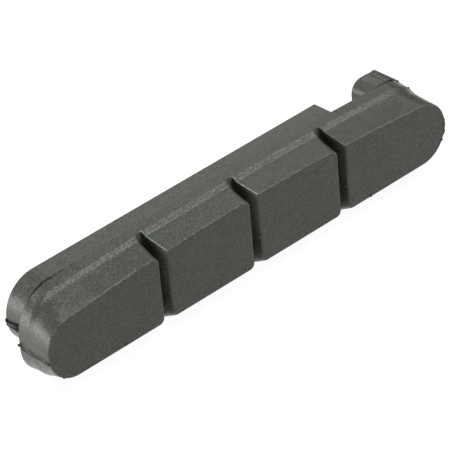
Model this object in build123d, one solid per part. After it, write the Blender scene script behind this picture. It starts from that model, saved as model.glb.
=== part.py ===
from build123d import *
import math
import os
from typing import NamedTuple

# The frame: X along the pad with the screw end at +X, Y from the friction face towards the holder,
# Z up. The origin is on the back of the tongue, at mid length and on the parting plane.
# Depths below are counted from the friction face, and heights from the parting plane.

# Friction face
FACE_LENGTH = 55.2
FACE_BELOW = 3.57
FACE_ABOVE = 4.58
FACE_ARCH_RADIUS = 250.0
FACE_EDGE = 0.14

# Flared sides of the friction block
BLOCK_DEPTH = 2.9
FLARE_ABOVE = 0.23
FLARE_BELOW = 1.6
SIDE_SECTIONS = 5

# Hollow step from the block up to the shoulder, which is level with the block underneath
STEP_DEPTH = 0.85
STEP_ABOVE = 0.39
STEP_SECTIONS = 5

# Shoulder that bears on the rim of the holder
SHOULDER_THICKNESS = 1.25
SHOULDER_ARCH_RADIUS = 445.0
SHOULDER_EDGE = 0.05

# Round ends of the block and shoulder, with draft from the friction face to the back of the shoulder
NEAR_FACE_FLAT = 0.2
NEAR_FACE_HIGH_SHARE = 0.45
NEAR_SHOULDER_FLAT = 1.25
NEAR_SHOULDER_HIGH_SHARE = 0.535
NEAR_DRAFT = 0.43
FAR_FACE_FLAT = 0.1
FAR_FACE_HIGH_SHARE = 0.49
FAR_SHOULDER_FLAT = 1.5
FAR_SHOULDER_HIGH_SHARE = 0.44
FAR_DRAFT = 0.25
END_EASE = 2

# Water grooves across the friction face
GROOVE_COUNT = 3
GROOVE_PITCH = 12.39
GROOVE_WIDTH = 1.17
GROOVE_TAPER = 0.4
GROOVE_DEPTH = 3.88
GROOVE_MIDDLE = 0.18
GROOVE_MOUTH = 0.22
GROOVE_FLOOR_FLAT = 0.09
GROOVE_FAR_CORNER = 0.12
GROOVE_NEAR_CORNER = 0.85
GROOVE_NEAR_CORNER_AT_FLOOR = 0.06
GROOVE_NEAR_EASE = 2
GROOVE_LOW_CORNER = 0.6
ROUND_STEPS = 4

# Neck groove that takes the lips of the holder
NECK_WIDTH = 0.9
NECK_UNDERCUT = 1.0
WEB_THICKNESS = 0.4
WEB_CORNER = 0.1

# Tongue that slides in the holder
TONGUE_THICKNESS = 2.7
TONGUE_HEIGHT = 7.92
TONGUE_FROM_END = 1.42
TONGUE_NOSE_FLAT = 0.16
TONGUE_END_CORNER = 0.35
TONGUE_EDGE = 0.12

# Tail behind the gap for the retaining screw
SCREW_GAP = 5.15
TAIL_LENGTH = 3.7
TAIL_FROM_END = 1.15
TAIL_NEAR_CORNER = 1.5
TAIL_FAR_CORNER = 0.3
TAIL_DIP_RADIUS = 1.0
TAIL_DIP_DEPTH = 0.16
TAIL_DIP_FROM_END = 0.8

# Places along the depth, from the friction face to the back of the tongue
SHOULDER_FRONT = BLOCK_DEPTH + STEP_DEPTH
SHOULDER_BACK = SHOULDER_FRONT + SHOULDER_THICKNESS
TONGUE_FRONT = SHOULDER_BACK + NECK_WIDTH
TONGUE_BACK = TONGUE_FRONT + TONGUE_THICKNESS
GROOVE_FLOOR_RADIUS = (GROOVE_WIDTH - GROOVE_TAPER - GROOVE_FLOOR_FLAT) / 2
GROOVE_FLOOR_START = GROOVE_DEPTH - GROOVE_FLOOR_RADIUS

# Places along the length
FACE_REACH = FACE_LENGTH / 2
TONGUE_START = NEAR_DRAFT - FACE_REACH + TONGUE_FROM_END
TAIL_END = FACE_REACH - FAR_DRAFT - TAIL_FROM_END
TAIL_START = TAIL_END - TAIL_LENGTH
TONGUE_END = TAIL_START - SCREW_GAP


class End(NamedTuple):
    """Round end of an outline: a short flat between two corners.

    The upper corner takes the high share of the height that the flat leaves.
    """

    reach: float
    flat: float
    high_share: float

    def toward(self, other, draft):
        ease = draft**END_EASE
        return End(
            reach=between(self.reach, other.reach, draft),
            flat=between(self.flat, other.flat, ease),
            high_share=between(self.high_share, other.high_share, ease),
        )


class Outline(NamedTuple):
    """Outline across the pad: straight lower edge, arched upper edge and round ends."""

    below: float
    above: float
    arch_radius: float
    near: End
    far: End

    def grown(self, margin):
        return self._replace(
            below=self.below + margin,
            above=self.above + margin,
            near=self.near._replace(reach=self.near.reach + margin),
            far=self.far._replace(reach=self.far.reach + margin),
        )

    def arch_at(self, place):
        """Height of the arched edge at this place along the pad."""
        return self.above - self.arch_radius + math.sqrt(self.arch_radius**2 - place**2)

    def faces(self, depth, groove_gap=0):
        """Flat faces at this depth behind the friction face, parted by grooves of this gap."""
        near_top = (-self.near.reach, self.arch_at(self.near.reach))
        far_top = (self.far.reach, self.arch_at(self.far.reach))
        with BuildSketch(Plane.XZ.offset(-depth)) as sketch:
            with BuildLine():
                Polyline(far_top, (self.far.reach, -self.below), (-self.near.reach, -self.below), near_top)
                ThreePointArc(near_top, (0, self.above), far_top)
            make_face()
            for end, is_far in ((self.near, False), (self.far, True)):
                round_height = self.below + self.arch_at(end.reach) - end.flat
                fillet(end_corners(sketch, is_far)[-1], round_height * end.high_share)
                fillet(end_corners(sketch, is_far)[0], round_height * (1 - end.high_share))
            if groove_gap:
                places = groove_places(depth)
                with Locations(*places):
                    Rectangle(groove_gap, 2 * (self.above + self.below), mode=Mode.SUBTRACT)
                fillet(groove_corners(sketch, places, high=True, far=True), GROOVE_FAR_CORNER)
                fillet(groove_corners(sketch, places, high=True, far=False), near_corner(depth))
                fillet(groove_corners(sketch, places, high=False, far=True), GROOVE_LOW_CORNER)
                fillet(groove_corners(sketch, places, high=False, far=False), GROOVE_LOW_CORNER)
        return sketch.sketch.faces().sort_by(Axis.X)


def between(start, end, share):
    return start + (end - start) * share


def end_corners(sketch, is_far):
    """Corners at one end of an outline, from the lowest to the highest."""
    return sketch.vertices().filter_by(lambda corner: (corner.X > 0) == is_far).sort_by(Axis.Y)


def groove_taper(depth):
    """How far the near wall of a groove leans in at this depth."""
    return GROOVE_TAPER * depth / GROOVE_DEPTH


def groove_width(depth):
    return GROOVE_WIDTH - groove_taper(depth)


def groove_places(depth):
    """Middle of each groove along the pad at this depth."""
    first = GROOVE_MIDDLE - GROOVE_PITCH * (GROOVE_COUNT - 1) / 2 + groove_taper(depth) / 2
    return [(first + GROOVE_PITCH * index, 0) for index in range(GROOVE_COUNT)]


def groove_corners(sketch, places, high, far):
    """Corners of an outline on the grooves: the high or low ones, on the far or near side."""

    def past_groove(corner):
        return min((corner.X - place for place, _ in places), key=abs)

    return sketch.vertices().filter_by(
        lambda corner: abs(past_groove(corner)) < GROOVE_PITCH / 2
        and (corner.Y > 0) == high
        and (past_groove(corner) > 0) == far
    )


def near_corner(depth):
    """The near side of a groove is rounded most at the friction face."""
    ease = (depth / GROOVE_DEPTH) ** GROOVE_NEAR_EASE
    return between(GROOVE_NEAR_CORNER, GROOVE_NEAR_CORNER_AT_FLOOR, ease)


def step_rise(depth):
    """Share of the step that is climbed at this depth, with a soft start and end."""
    share = min(max((depth - BLOCK_DEPTH) / STEP_DEPTH, 0), 1)
    return (1 - math.cos(math.pi * share)) / 2


def arch_drop(radius):
    """How far an arch of this radius falls from the middle to the ends of the pad."""
    return radius - math.sqrt(radius**2 - FACE_REACH**2)


def arch_radius(drop):
    return (FACE_REACH**2 + drop**2) / (2 * drop)


FACE_ARCH_DROP = arch_drop(FACE_ARCH_RADIUS)
SHOULDER_ARCH_DROP = arch_drop(SHOULDER_ARCH_RADIUS)
FACE_NEAR = End(FACE_REACH, NEAR_FACE_FLAT, NEAR_FACE_HIGH_SHARE)
FACE_FAR = End(FACE_REACH, FAR_FACE_FLAT, FAR_FACE_HIGH_SHARE)
SHOULDER_NEAR = End(FACE_REACH - NEAR_DRAFT, NEAR_SHOULDER_FLAT, NEAR_SHOULDER_HIGH_SHARE)
SHOULDER_FAR = End(FACE_REACH - FAR_DRAFT, FAR_SHOULDER_FLAT, FAR_SHOULDER_HIGH_SHARE)


def outline_at(depth):
    """Flared sides, then the hollow step, which fades into an even slope at the ends of the arch."""
    flare = min(depth / BLOCK_DEPTH, 1)
    draft = depth / SHOULDER_BACK
    slope = min(depth / SHOULDER_FRONT, 1)
    rise = FLARE_ABOVE * flare + STEP_ABOVE * step_rise(depth)
    rise_at_ends = (FLARE_ABOVE + STEP_ABOVE + FACE_ARCH_DROP - SHOULDER_ARCH_DROP) * slope
    return Outline(
        below=FACE_BELOW + FLARE_BELOW * flare,
        above=FACE_ABOVE + rise,
        arch_radius=arch_radius(FACE_ARCH_DROP + rise - rise_at_ends),
        near=FACE_NEAR.toward(SHOULDER_NEAR, draft),
        far=FACE_FAR.toward(SHOULDER_FAR, draft),
    )


def mouth_sections():
    """Rounded edge of the friction face, wider along the mouths of the grooves."""
    sections = []
    for index in range(ROUND_STEPS + 1):
        turn = math.pi / 2 * index / ROUND_STEPS
        depth = GROOVE_MOUTH * (1 - math.cos(turn))
        edge = FACE_EDGE * (1 - math.sin(turn))
        outline = outline_at(depth).grown(-edge)
        gap = groove_width(depth) + 2 * GROOVE_MOUTH * (1 - math.sin(turn))
        sections.append(outline.faces(depth, gap))
    return sections


def wall_sections(start, end, count):
    """Sides of the blocks between two depths."""
    depths = [between(start, end, index / count) for index in range(count + 1)]
    return [outline_at(depth).faces(depth, groove_width(depth)) for depth in depths]


def floor_sections():
    """Round floor of the grooves, where the blocks draw together."""
    sections = []
    for index in range(ROUND_STEPS + 1):
        turn = math.pi / 2 * index / ROUND_STEPS
        depth = GROOVE_FLOOR_START + GROOVE_FLOOR_RADIUS * math.sin(turn)
        gap = groove_width(depth) - 2 * GROOVE_FLOOR_RADIUS * (1 - math.cos(turn))
        sections.append(outline_at(depth).faces(depth, gap))
    return sections


def rim_sections():
    """Shoulder behind the grooves, with its back edge broken."""
    edge_depth = SHOULDER_BACK - SHOULDER_EDGE
    sections = [outline_at(depth).faces(depth) for depth in (GROOVE_DEPTH, edge_depth)]
    return sections + [outline_at(SHOULDER_BACK).grown(-SHOULDER_EDGE).faces(SHOULDER_BACK)]


def friction_blocks():
    """The blocks between the water grooves and the shoulder that carries them."""
    runs = (
        rim_sections(),
        floor_sections(),
        wall_sections(BLOCK_DEPTH, GROOVE_FLOOR_START, STEP_SECTIONS),
        wall_sections(GROOVE_MOUTH, BLOCK_DEPTH, SIDE_SECTIONS),
        mouth_sections(),
    )
    body = Part()
    for sections in runs:
        body += [loft(block, ruled=True) for block in zip(*sections)]
    return body


def plate(start, end, height, start_corner, end_corner, front, back):
    """Upright plate between two ends along the pad, with a corner radius for each end."""
    with BuildSketch(Plane.XZ.offset(-front)) as sketch:
        with Locations(((start + end) / 2, 0)):
            Rectangle(end - start, height)
        fillet(sketch.vertices().sort_by(Axis.X)[:2], start_corner)
        fillet(sketch.vertices().sort_by(Axis.X)[-2:], end_corner)
    return extrude(sketch.sketch, front - back)


def break_rims(body):
    """The plate with the edges round its front and its back broken."""
    by_depth = body.edges().group_by(Axis.Y)
    return chamfer(by_depth[0] + by_depth[-1], TONGUE_EDGE)


def nose_corner(height):
    """Corner radius that leaves a short flat at the tip of a nose this high."""
    return (height - TONGUE_NOSE_FLAT) / 2


def tail():
    """Square tail with a shallow dip across its top and the web that closes the neck groove."""
    block = plate(
        TAIL_START, TAIL_END, TONGUE_HEIGHT, TAIL_NEAR_CORNER, TAIL_FAR_CORNER, TONGUE_FRONT, TONGUE_BACK
    )
    web = plate(
        TAIL_END - WEB_THICKNESS,
        TAIL_END,
        TONGUE_HEIGHT,
        WEB_CORNER,
        TAIL_FAR_CORNER,
        SHOULDER_BACK,
        TONGUE_FRONT,
    )
    dip_place = Pos(
        TAIL_END - TAIL_DIP_FROM_END,
        TONGUE_BACK,
        TONGUE_HEIGHT / 2 + TAIL_DIP_RADIUS - TAIL_DIP_DEPTH,
    )
    dip = dip_place * Rot(X=90) * Cylinder(TAIL_DIP_RADIUS, 2 * TONGUE_THICKNESS)
    return break_rims(block) + web - dip


def brake_pad():
    """The whole pad, moulded in one piece."""
    neck_height = TONGUE_HEIGHT - 2 * NECK_UNDERCUT
    neck = plate(
        TONGUE_START + NECK_UNDERCUT,
        TAIL_END,
        neck_height,
        nose_corner(neck_height),
        TAIL_FAR_CORNER,
        SHOULDER_BACK,
        TONGUE_FRONT,
    )
    tongue = plate(
        TONGUE_START,
        TONGUE_END,
        TONGUE_HEIGHT,
        nose_corner(TONGUE_HEIGHT),
        TONGUE_END_CORNER,
        TONGUE_FRONT,
        TONGUE_BACK,
    )
    return friction_blocks() + neck + break_rims(tongue) + tail()


os.makedirs("parts", exist_ok=True)
pad = Pos(0, -TONGUE_BACK, 0) * brake_pad()
pad.label = "brake_pad"
export_step(pad, "parts/brake_pad.step")
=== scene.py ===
import math
import random

import bmesh
import bpy
from mathutils import Matrix, Vector
from mathutils.bvhtree import BVHTree


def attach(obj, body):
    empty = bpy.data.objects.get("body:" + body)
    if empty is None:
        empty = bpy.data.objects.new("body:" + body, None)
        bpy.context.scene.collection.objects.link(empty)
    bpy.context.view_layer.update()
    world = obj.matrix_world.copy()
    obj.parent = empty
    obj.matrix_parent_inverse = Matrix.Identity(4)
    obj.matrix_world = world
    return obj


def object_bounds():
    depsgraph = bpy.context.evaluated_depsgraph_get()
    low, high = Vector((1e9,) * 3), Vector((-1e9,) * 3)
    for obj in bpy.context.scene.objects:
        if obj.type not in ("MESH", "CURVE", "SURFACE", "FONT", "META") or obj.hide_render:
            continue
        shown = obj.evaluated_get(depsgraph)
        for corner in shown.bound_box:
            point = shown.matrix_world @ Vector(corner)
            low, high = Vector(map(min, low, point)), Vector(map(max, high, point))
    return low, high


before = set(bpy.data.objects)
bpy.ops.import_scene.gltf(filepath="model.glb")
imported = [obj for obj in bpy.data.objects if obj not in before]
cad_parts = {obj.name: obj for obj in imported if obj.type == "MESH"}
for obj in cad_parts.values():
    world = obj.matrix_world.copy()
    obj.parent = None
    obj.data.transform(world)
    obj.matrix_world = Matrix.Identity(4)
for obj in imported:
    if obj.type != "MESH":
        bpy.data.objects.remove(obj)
cad_low, cad_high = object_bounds()
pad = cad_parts["brake_pad"]

# The pad's round near end looks along -x and its friction face along -y.
# Places on it are (along, depth, height) in millimetres. The floor and the lights are in metres.
MM = 0.001


class Reading:
    """One output of a finish's node tree. Sums on readings add Math nodes."""

    def __init__(self, finish, socket):
        self.finish = finish
        self.socket = socket

    def sum_of(self, operation, first, second):
        return self.finish.node("Math", {"operation": operation}, {0: first, 1: second})

    def __add__(self, other):
        return self.sum_of("ADD", self, other)

    def __radd__(self, other):
        return self.sum_of("ADD", other, self)

    def __sub__(self, other):
        return self.sum_of("SUBTRACT", self, other)

    def __rsub__(self, other):
        return self.sum_of("SUBTRACT", other, self)

    def __mul__(self, other):
        return self.sum_of("MULTIPLY", self, other)

    def __rmul__(self, other):
        return self.sum_of("MULTIPLY", other, self)

    def __abs__(self):
        return self.finish.node("Math", {"operation": "ABSOLUTE"}, {0: self})

    def rising(self, low, high):
        """0 below the low value, 1 above the high one, with a soft slope between them."""
        return self.finish.node(
            "MapRange",
            {"interpolation_type": "SMOOTHSTEP"},
            {"Value": self, "From Min": low, "From Max": high},
        )

    def past(self, start, end):
        """0 before the start and 1 past the end of a stretch in millimetres."""
        return self.rising(start * MM, end * MM)


class Finish:
    """A material and the one way to add a node to it."""

    def __init__(self, name):
        self.material = bpy.data.materials.new(name)
        self.material.use_nodes = True
        self.tree = self.material.node_tree
        self.tree.nodes.clear()

    def node(self, kind, settings=None, sockets=None, out=0):
        """Adds a node: its settings first, then the values or links of its sockets."""
        made = self.tree.nodes.new("ShaderNode" + kind)
        for name, value in (settings or {}).items():
            setattr(made, name, value)
        for name, value in (sockets or {}).items():
            if isinstance(value, Reading):
                self.tree.links.new(value.socket, made.inputs[name])
            else:
                made.inputs[name].default_value = value
        return Reading(self, made.outputs[out]) if made.outputs else None

    def parts(self, vector, axes="XYZ"):
        """The vector's values along these axes."""
        return [self.node("SeparateXYZ", {}, {"Vector": vector}, out=axis) for axis in axes]

    def noise(self, place, size, detail):
        """Soft noise whose lumps are about this size across."""
        sockets = {"Vector": place, "Scale": 1 / size, "Detail": detail, "Roughness": 0.6}
        return self.node("TexNoise", {}, sockets)

    def grains(self, place, size):
        """A random colour for each small grain of the surface."""
        return self.node("TexVoronoi", {}, {"Vector": place, "Scale": 1 / size}, out="Color")

    def vector(self, operation, sockets):
        return self.node("VectorMath", {"operation": operation}, sockets)

    def pebbled(self, grains, tilt):
        """Surface direction that tilts at random from one grain to the next."""
        centred = self.vector("SUBTRACT", {0: grains, 1: (0.5, 0.5, 0.5)})
        lean = self.vector("SCALE", {"Vector": centred, "Scale": 2 * tilt})
        level = self.node("NewGeometry", out="Normal")
        return self.vector("NORMALIZE", {0: self.vector("ADD", {0: level, 1: lean})})

    def grey(self, tone, tint):
        """Colour of this tint, darker or lighter with the tone."""
        shades = {name: tone * share for name, share in zip(("Red", "Green", "Blue"), tint)}
        return self.node("CombineColor", {"mode": "RGB"}, shades)

    def surfaced(self, sockets):
        """The finished material, with these values or links on its surface."""
        surface = self.node("BsdfPrincipled", {}, sockets)
        self.node("OutputMaterial", {}, {"Surface": surface})
        return self.material


def moulded_rubber():
    """Black filled rubber as it leaves the mould: dull, faintly mottled, finely pebbled; its tone
    also holds painted highlights and painted shade.
    """
    rubber = Finish("rubber_as_moulded")
    place = rubber.node("TexCoord", out="Object")
    along, depth, height = rubber.parts(place)
    facing_x, facing_y, facing_z = rubber.parts(rubber.node("TexCoord", out="Normal"))
    toward_near = 0 - facing_x
    toward_face = 0 - facing_y

    grains = rubber.grains(place, size=0.085 * MM)
    [speck] = rubber.parts(grains, "X")
    pores = rubber.noise(place, size=0.2 * MM, detail=2.0)
    bloom = rubber.noise(place, size=2.4 * MM, detail=4.0)

    # The water grooves: walls near the face painted lighter, as painted light reaching into the
    # grooves; floors near the top and the edges facing the near end with painted highlights.
    by_grooves = 1 - abs(along).past(20, 21)
    to_far_groove = along.past(2, 13)
    groove_walls = (
        by_grooves
        * abs(facing_x).rising(0.9, 0.97)
        * (1 - depth.past(-8.4, -6))
        * (0.2 + 0.8 * height.past(-3, 3.5))
    )
    # Groove floors painted lighter near the top: a painted highlight where the grooves open
    # upward.
    groove_floors = (
        by_grooves
        * toward_face.rising(0.7, 0.9)
        * (1 - facing_z.rising(0.3, 0.6))
        * depth.past(-5.4, -5.1)
        * height.past(2.2, 4.2)
    )
    # Painted highlight along the groove edges that face the near end.
    groove_edges = by_grooves * toward_near.rising(0.2, 0.5) * facing_z.rising(0.15, 0.4)

    # The rest of the pad, from the friction face back to the tongue.
    # Painted highlight, mottled, on surfaces leaning toward the friction face: its rounded edges
    # and the step.
    face_edge = toward_face.rising(0.15, 0.6) * (1 - toward_face.rising(0.85, 0.97))
    step = toward_face.rising(0.2, 0.55) * (1 - toward_face.rising(0.75, 0.9))
    # Painted shade in the neck groove between shoulder and tongue, towards the round end.
    neck = (
        depth.past(-3.75, -3.62)
        * (1 - depth.past(-2.6, -2.45))
        * (1 - along.past(-23, -18.5))
    )
    tongue = depth.past(-2.6, -2.3)

    mottle = 0.3 + 0.8 * speck + 0.24 * pores + 0.36 * bloom
    # Painted highlights: face edges and step, groove edges facing the near end, groove floors near
    # the top.
    painted_highlights = (
        0.9 * face_edge * bloom
        + 4.0 * groove_edges * (1 - 0.6 * to_far_groove)
        + 3.0 * groove_floors
    )
    # Groove walls painted lighter, most in the nearer grooves: painted light reaching into the
    # grooves.
    painted_groove_light = 1.8 * groove_walls * (1 - 0.7 * to_far_groove)
    # The tone holds painted light: lighter groove walls, painted highlights, and painted shade in
    # the neck.
    tone = mottle * (1 + painted_groove_light + 0.14 * tongue + painted_highlights) * (1 - 0.75 * neck)
    relief = {
        "Strength": 0.5,
        "Distance": 0.05 * MM,
        "Height": 0.7 * pores + 0.3 * bloom,
        "Normal": rubber.pebbled(grains, tilt=0.10 + 0.06 * step),
    }
    return rubber.surfaced({
        "Base Color": rubber.grey(tone, tint=(0.0500, 0.0552, 0.0445)),
        "Roughness": 0.20 + 0.10 * bloom + 0.06 * pores + 0.05 * step,
        "Specular IOR Level": 0.25,
        "Normal": rubber.node("Bump", {}, relief),
    })


def painted_shade_rubber():
    """Very dark rough rubber, laid as painted shade in the crevices along the flash line."""
    rubber = Finish("rubber_painted_shade")
    place = rubber.node("TexCoord", out="Object")
    blotches = rubber.noise(place, size=0.12 * MM, detail=3.0)
    relief = {"Strength": 1.0, "Distance": 0.2 * MM, "Height": blotches}
    return rubber.surfaced({
        "Base Color": rubber.grey(0.4 + 1.2 * blotches, tint=(0.014, 0.015, 0.013)),
        "Roughness": 0.7 + 0.25 * blotches,
        "Specular IOR Level": 0.15,
        "Normal": rubber.node("Bump", {}, relief),
    })


def light_table():
    """White acrylic, lit from below, with its lamp to the left of the pad's near end."""
    acrylic = Finish("light_table")
    place = acrylic.node("TexCoord", out="Object")
    along, depth = acrylic.parts(place, "XY")
    cloud = acrylic.noise(place, size=60 * MM, detail=1.0)
    by_the_lamp = (1 - along.past(-45, -31)) * depth.past(-8, 4)
    return acrylic.surfaced({
        "Base Color": acrylic.grey(0.98 + 0.04 * cloud, tint=(0.12, 0.12, 0.12)),
        "Roughness": 0.9,
        "Emission Color": acrylic.grey(0.95 + 1.9 * by_the_lamp, tint=(1, 1, 1)),
        "Emission Strength": 1.0,
    })


rubber = moulded_rubber()
shade_rubber = painted_shade_rubber()
pad.data.materials.clear()
pad.data.materials.append(rubber)

skin = BVHTree.FromPolygons(
    [corner.co for corner in pad.data.vertices],
    [face.vertices for face in pad.data.polygons],
)


def on_near_end(depth, height):
    """Point of the pad's round end at this depth and height, and the way out of it."""
    well_outside = Vector((-100, depth, height)) * MM
    spot, out, _, _ = skin.ray_cast(well_outside, Vector((1, 0, 0)))
    return spot, out


def on_skin(place):
    """Point of the pad's surface nearest to a place."""
    return skin.find_nearest(Vector(place) * MM)[0]


def between(stops, step):
    """Points a small step apart along straight runs between the stops."""
    line = []
    for start, end in zip(stops, stops[1:]):
        start, end = Vector(start), Vector(end)
        count = max(2, round((end - start).length / step))
        line += [start.lerp(end, turn / count) for turn in range(count)]
    return line + [Vector(stops[-1])]


def across_near_end(stops, step):
    """Points of the round end along a line of depths and heights, with the way out of each."""
    return [on_near_end(*stop) for stop in between(stops, step)]


class Flash:
    """Thin rubber squeezed out between the mould halves, and dark pieces of painted shade beside
    it: closed shapes rooted in the pad.
    """

    # Cross-section of a fin: share of its half width to the side, share of its height.
    FIN = ((1.0, 0.0), (0.75, 0.65), (0.25, 1.0), (-0.25, 1.0), (-0.75, 0.65), (-1.0, 0.0))
    FIN_ROOT = 0.12
    FIN_ROOT_SPREAD = 1.2
    # Profile of a stub: share of its length along it, share of its radius there.
    STUB = ((-0.5, 1.1), (0.0, 1.0), (0.35, 0.85), (0.65, 0.7), (0.88, 0.5), (1.0, 0.22))
    STUB_SIDES = 9
    STUB_SWAY = 0.2
    STUB_RAGGED = 0.35
    PATCH_COLUMNS = 14
    PATCH_ROOT = 0.3
    PATCH_BORDER = 0.05

    def __init__(self, name, seed):
        self.name = name
        self.chance = random.Random(seed)
        self.mesh = bmesh.new()

    def loft(self, rings):
        """Closed skin over rings of points, with both ends capped."""
        rows = [[self.mesh.verts.new(point) for point in ring] for ring in rings]
        for first, second in zip(rows, rows[1:]):
            for here in range(len(first)):
                there = (here + 1) % len(first)
                self.mesh.faces.new((first[here], first[there], second[there], second[here]))
        self.mesh.faces.new(rows[0])
        self.mesh.faces.new(reversed(rows[-1]))

    def ridge(self, line, width, stand, ragged):
        """A fin along points of the surface, each given with the way out of it."""
        rings = []
        last = len(line) - 1
        for place, (spot, out) in enumerate(line):
            before, after = line[max(place - 1, 0)][0], line[min(place + 1, last)][0]
            side = out.cross((after - before).normalized()).normalized()
            fade = min(1.0, 0.25 + min(place, last - place) / 2)
            rise = stand * MM * fade * (1 - ragged * self.chance.random())
            thinned = 1 - 0.4 * ragged * self.chance.random()
            half = width / 2 * MM * (0.6 + 0.4 * fade) * thinned
            root = spot - out * self.FIN_ROOT * MM
            foot = side * half * self.FIN_ROOT_SPREAD
            ring = [spot + side * half * wide + out * rise * high for wide, high in self.FIN]
            rings.append([root + foot] + ring + [root - foot])
        self.loft(rings)

    def nib(self, place, lean, length, radius):
        """A torn-off stub that sticks out of the surface."""
        spot = on_skin(place)
        lean = Vector(lean).normalized()
        side = lean.orthogonal().normalized()
        other = lean.cross(side)
        rings = []
        for rise, girth in self.STUB:
            sideways = self.chance.uniform(-self.STUB_SWAY, self.STUB_SWAY)
            otherwise = self.chance.uniform(-self.STUB_SWAY, self.STUB_SWAY)
            sway = side * sideways + other * otherwise
            middle = spot + (lean * length * rise + sway * radius * max(rise, 0)) * MM
            ring = []
            for turn in range(self.STUB_SIDES):
                angle = math.tau * turn / self.STUB_SIDES
                reach = radius * girth * (1 - self.STUB_RAGGED * self.chance.random()) * MM
                ring.append(middle + (side * math.cos(angle) + other * math.sin(angle)) * reach)
            rings.append(ring)
        self.loft(rings)

    def patch(self, lower, upper, stand):
        """A lumpy sheet over the round end, between two lines of depths and heights."""
        last, end = len(lower) - 1, self.PATCH_COLUMNS
        rows = []
        for place, (low, high) in enumerate(zip(lower, upper)):
            row = []
            for turn in range(end + 1):
                spot, out = on_near_end(*low.lerp(high, turn / end))
                if place in (0, last) or turn in (0, end):
                    lump = -self.PATCH_BORDER * MM
                else:
                    lump = stand * (0.25 + self.chance.random()) * MM
                row.append((spot + out * lump, spot - out * self.PATCH_ROOT * MM))
            rows.append(row)
        front = [[self.mesh.verts.new(outer) for outer, _ in row] for row in rows]
        back = [[self.mesh.verts.new(inner) for _, inner in row] for row in rows]
        for place in range(last):
            for turn in range(end):
                for grid in (front, back):
                    here, there = grid[place], grid[place + 1]
                    self.mesh.faces.new((here[turn], there[turn], there[turn + 1], here[turn + 1]))
        rim = [(place, 0) for place in range(last)]
        rim += [(last, turn) for turn in range(end)]
        rim += [(place, end) for place in range(last, 0, -1)]
        rim += [(0, turn) for turn in range(end, 0, -1)]
        for (row, turn), (next_row, next_turn) in zip(rim, rim[1:] + rim[:1]):
            self.mesh.faces.new((
                front[row][turn],
                front[next_row][next_turn],
                back[next_row][next_turn],
                back[row][turn],
            ))

    def made_of(self, material):
        """Puts the flash in the scene, on the pad's body."""
        bmesh.ops.recalc_face_normals(self.mesh, faces=self.mesh.faces)
        mesh = bpy.data.meshes.new(self.name)
        self.mesh.to_mesh(mesh)
        self.mesh.free()
        mesh.materials.append(material)
        mesh.shade_smooth()
        piece = bpy.data.objects.new(self.name, mesh)
        bpy.context.scene.collection.objects.link(piece)
        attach(piece, "root")


def flash_round_the_near_end():
    """The fin across the round end, with a dark strip below it as painted shade."""
    fin_above_shade = 0.2
    shade_line = [(-3.62, -0.98), (-4.47, -0.94), (-5.79, -0.82), (-7.22, -0.77), (-8.45, -0.68)]
    fin_line = [(depth, height + fin_above_shade) for depth, height in shade_line]
    fin = Flash("near_end_fin", seed=11)
    fin.ridge(across_near_end(fin_line, step=0.13), width=0.17, stand=0.16, ragged=0.4)
    fin.nib((-27.18, -3.75, -0.62), lean=(-0.9, 0.2, 0.3), length=0.3, radius=0.24)
    fin.made_of(rubber)
    shade_piece = Flash("near_end_painted_shade", seed=12)
    shade_piece.ridge(across_near_end(shade_line, step=0.13), width=0.34, stand=0.08, ragged=0.6)
    shade_piece.made_of(shade_rubber)


def flash_on_the_nose():
    """Dark pieces on the tongue's nose as painted shade, and the flash lip below them."""
    depths = [-0.08 - 0.09 * place for place in range(29)]
    lower = [Vector((depth, -0.58 + 0.15 * depth)) for depth in depths]
    upper = [Vector((depth, -0.05 - 0.2 * depth)) for depth in depths]
    back_edge = [(-0.07, 0.12), (-0.07, -0.88)]
    shade_piece = Flash("nose_painted_shade", seed=13)
    shade_piece.patch(lower, upper, stand=0.09)
    shade_piece.ridge(across_near_end(back_edge, step=0.1), width=0.3, stand=0.17, ragged=0.5)
    shade_piece.nib((-25.75, -0.16, -0.08), lean=(-0.8, 0.6, 0.1), length=0.17, radius=0.26)
    shade_piece.made_of(shade_rubber)
    lip_line = [(-0.08, -0.66), (-1.3, -0.86), (-2.6, -1.04)]
    shred_line = [(-0.1, -0.36), (-0.8, -0.33), (-1.7, -0.3)]
    lip = Flash("nose_lip", seed=14)
    lip.ridge(across_near_end(lip_line, step=0.12), width=0.2, stand=0.12, ragged=0.4)
    lip.ridge(across_near_end(shred_line, step=0.1), width=0.24, stand=0.2, ragged=0.5)
    lip.made_of(rubber)


def flash_at_the_far_end():
    """The ragged lip and stubs along the friction face's far edge, and one on the far shoulder."""
    outward = Vector((0.75, -0.65, 0)).normalized()
    edge = between([(27.6, -8.7, 1.0), (27.6, -8.7, -1.6)], step=0.12)
    lip = Flash("far_edge_lip", seed=15)
    lip.ridge([(on_skin(stop), outward) for stop in edge], width=0.2, stand=0.13, ragged=0.9)
    lip.nib((27.48, -8.59, -0.06), lean=(0.8, -0.55, 0.1), length=0.13, radius=0.17)
    lip.nib((27.44, -8.58, -0.91), lean=(0.8, -0.55, -0.1), length=0.12, radius=0.17)
    lip.nib((27.01, -8.6, -1.85), lean=(0.7, -0.5, -0.4), length=0.12, radius=0.17)
    lip.nib((26.28, -4.82, 3.37), lean=(0.71, -0.18, 0.68), length=0.12, radius=0.22)
    lip.made_of(rubber)


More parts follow.
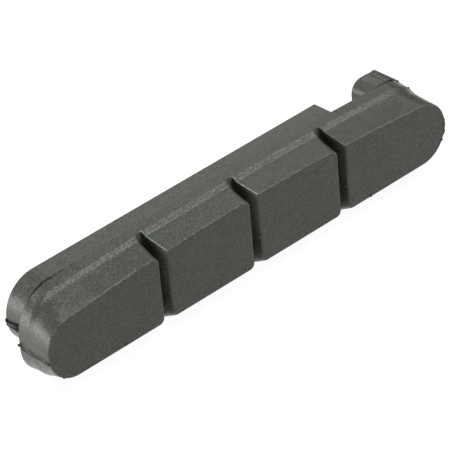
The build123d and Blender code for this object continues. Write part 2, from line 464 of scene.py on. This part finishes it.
def stubs_along_the_block():
    """Small stubs left on the lower edge and where the flash crossed the grooves."""
    stubs = Flash("block_stubs", seed=16)
    stubs.nib((-26.03, -8.47, -2.99), lean=(-0.35, -0.5, -0.8), length=0.08, radius=0.18)
    stubs.nib((-18.04, -8.6, -3.41), lean=(0.1, -0.5, -0.85), length=0.08, radius=0.2)
    stubs.nib((16.31, -8.58, -3.5), lean=(0.1, -0.5, -0.85), length=0.07, radius=0.18)
    for crossing in ((13.16, -8.24, -0.84), (0.76, -8.34, -0.65), (-11.62, -8.32, -0.84)):
        stubs.nib(crossing, lean=(-1, -0.2, 0.15), length=0.14, radius=0.15)
    stubs.made_of(rubber)


flash_round_the_near_end()
flash_on_the_nose()
flash_at_the_far_end()
stubs_along_the_block()


def camera_of_the_photograph():
    """The photograph's view, fitted to the pad's straight edges, grooves and flash line."""
    place = Vector((-185.88, -218.54, 187.12)) * MM
    right = Vector((0.7192, -0.6905, -0.0769)).normalized()
    ahead = Vector((0.5462, 0.6303, -0.5516)).normalized()
    data = bpy.data.cameras.new("camera")
    data.sensor_width = 36.0
    data.lens = 269.96
    data.clip_start = 0.01
    data.clip_end = 10.0
    camera = bpy.data.objects.new("camera", data)
    up = right.cross(ahead).normalized()
    right = ahead.cross(up).normalized()
    turn = Matrix((right, up, -ahead)).transposed().to_4x4()
    camera.matrix_world = Matrix.Translation(place) @ turn
    bpy.context.scene.collection.objects.link(camera)
    bpy.context.scene.camera = camera


def floor_under_the_pad():
    """A wide light table that the pad lies on."""
    reach = 1.5
    level = cad_low.z
    corners = [(-reach, -reach), (reach, -reach), (reach, reach), (-reach, reach)]
    mesh = bpy.data.meshes.new("floor")
    mesh.from_pydata([(x, y, level) for x, y in corners], [], [(0, 1, 2, 3)])
    mesh.materials.append(light_table())
    floor = bpy.data.objects.new("floor", mesh)
    bpy.context.scene.collection.objects.link(floor)


def dark_room():
    """No light but the table and the soft boxes."""
    world = bpy.data.worlds.new("studio")
    world.use_nodes = True
    world.node_tree.nodes["Background"].inputs["Strength"].default_value = 0.0
    bpy.context.scene.world = world
    bpy.context.scene.view_settings.view_transform = "Standard"


def soft_box(name, toward, size, radiance):
    """A lit panel that faces the pad from this direction."""
    distance = 0.6
    data = bpy.data.lights.new(name, "AREA")
    data.shape = "RECTANGLE"
    data.size, data.size_y = size
    data.energy = radiance * math.pi * size[0] * size[1]
    light = bpy.data.objects.new(name, data)
    light.location = Vector(toward).normalized() * distance
    light.rotation_mode = "QUATERNION"
    light.rotation_quaternion = (-light.location).to_track_quat("-Z", "Y")
    bpy.context.scene.collection.objects.link(light)


LARGE, SMALL, WIDE, NARROW = (0.24, 0.24), (0.15, 0.15), (0.5, 0.24), (0.24, 0.12)
SOFT_BOXES = (
    ("over_panel", (0.0, 0.0, 1.0), LARGE, 13.4),
    ("far_panel", (0.55, 0.63, 0.55), LARGE, 1.3),
    ("far_high_panel", (0.55, 0.35, 0.76), LARGE, 0.9),
    ("high_panel", (0.55, 0.0, 0.84), SMALL, 15.5),
    ("front_high_panel", (0.55, -0.33, 0.77), SMALL, 13.0),
    ("left_panel", (-0.75, 0.63, 0.08), WIDE, 9.0),
    ("left_upper_panel", (-0.72, 0.62, 0.32), NARROW, 1.5),
    ("left_high_panel", (-0.5, 0.63, 0.6), LARGE, 0.4),
    ("near_panel", (-1.0, 0.0, 0.35), LARGE, 3.0),
    ("front_panel", (-0.3, -0.75, 0.6), LARGE, 1.0),
    ("back_panel", (0.0, 1.0, 0.35), LARGE, 9.5),
)

camera_of_the_photograph()
floor_under_the_pad()
dark_room()
for name, toward, size, radiance in SOFT_BOXES:
    soft_box(name, toward, size, radiance)
